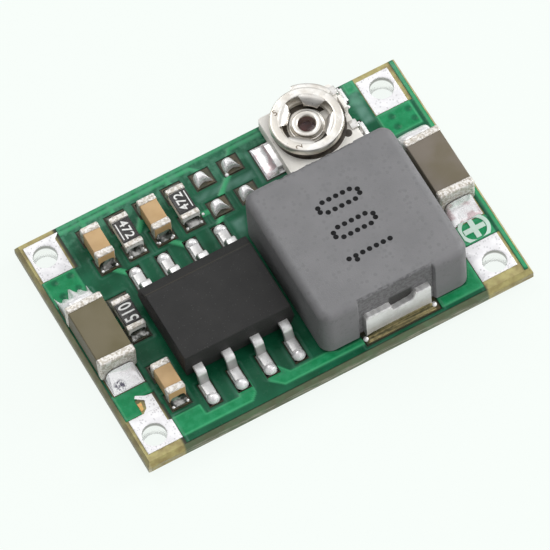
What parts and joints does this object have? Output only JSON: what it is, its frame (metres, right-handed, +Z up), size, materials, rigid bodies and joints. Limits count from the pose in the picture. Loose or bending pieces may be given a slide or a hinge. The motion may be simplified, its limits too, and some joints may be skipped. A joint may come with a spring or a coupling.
{
  "type": "buck converter module",
  "caption": "Small green circuit module that steps a voltage down: chip, moulded coil, capacitors, resistors and a turning trimmer on a board with wire holes at its corners.",
  "frame": {"origin": "centre of the board's underside", "axes": "+X along the board towards the coil's end, +Y across the board towards the trimmer's edge, +Z up out of the populated face"},
  "size_m": [0.0172, 0.0114, 0.0038],
  "materials": {
    "laminate": "glass cloth laminate, snapped edges",
    "solder_mask": "glossy green mask",
    "tinned_land": "tinned copper",
    "bare_copper": "bare copper",
    "pale_ink": "printed ink",
    "black_moulding": "fine matt moulding",
    "tinned_lead": "matt tin plate",
    "solder": "bright solder",
    "fluxed_land": "tinned copper under amber flux",
    "fluxed_solder": "solder under amber flux",
    "coil_powder": "pressed powder, fine grain",
    "taupe_ceramic": "bare fired ceramic",
    "tan_ceramic": "bare fired ceramic",
    "end_cap_metal": "matt, speckled plating",
    "alumina": "white alumina",
    "black_glaze": "black glaze",
    "cream_ceramic": "cream ceramic",
    "black_track": "printed resistive track",
    "trimmer_metal": "nickel-plated sheet"
  },
  "bodies": {
    "board": {"laminate": "laminate", "mask_top": "solder_mask", "mask_bottom": "solder_mask", "corner_land_back_left": "tinned_land", "corner_land_front_left": "tinned_land", "corner_land_back_right": "tinned_land", "corner_land_front_right": "tinned_land", "bare_copper_spot": "bare_copper", "polarity_mark": "pale_ink", "chip_lands": "tinned_land", "large_capacitor_lands": "tinned_land", "small_part_lands": "tinned_land", "coil_lands": "fluxed_land", "trimmer_lands": "tinned_land", "chip_body": "black_moulding", "chip_leads": "tinned_lead", "chip_solder": "solder", "coil_block": "coil_powder", "coil_terminals": "tinned_lead", "coil_solder": "fluxed_solder", "left_capacitor_block": "taupe_ceramic", "left_capacitor_end_caps": "end_cap_metal", "right_capacitor_block": "taupe_ceramic", "right_capacitor_end_caps": "end_cap_metal", "large_capacitor_solder": "solder", "small_capacitor_blocks": "tan_ceramic", "small_capacitor_end_caps": "end_cap_metal", "resistor_ceramics": "alumina", "resistor_coats": "black_glaze", "resistor_end_caps": "end_cap_metal", "small_part_solder": "solder", "bare_land_solder": "solder", "trimmer_base": "cream_ceramic", "trimmer_track": "black_track", "trimmer_wiper_terminal": "tinned_lead", "trimmer_end_terminals": "tinned_lead", "trimmer_solder": "solder", "trimmer_eyelet": "trimmer_metal"},
    "rotor": {"trimmer_rotor": "trimmer_metal"}
  },
  "joints": [
    {"name": "trimmer_turn", "type": "hinge", "parent": "board", "child": "rotor", "pos_m": [0.00388, 0.00416, 0.002], "axis": [0, 0, 1], "range_deg": [-11, 262]}
  ]
}
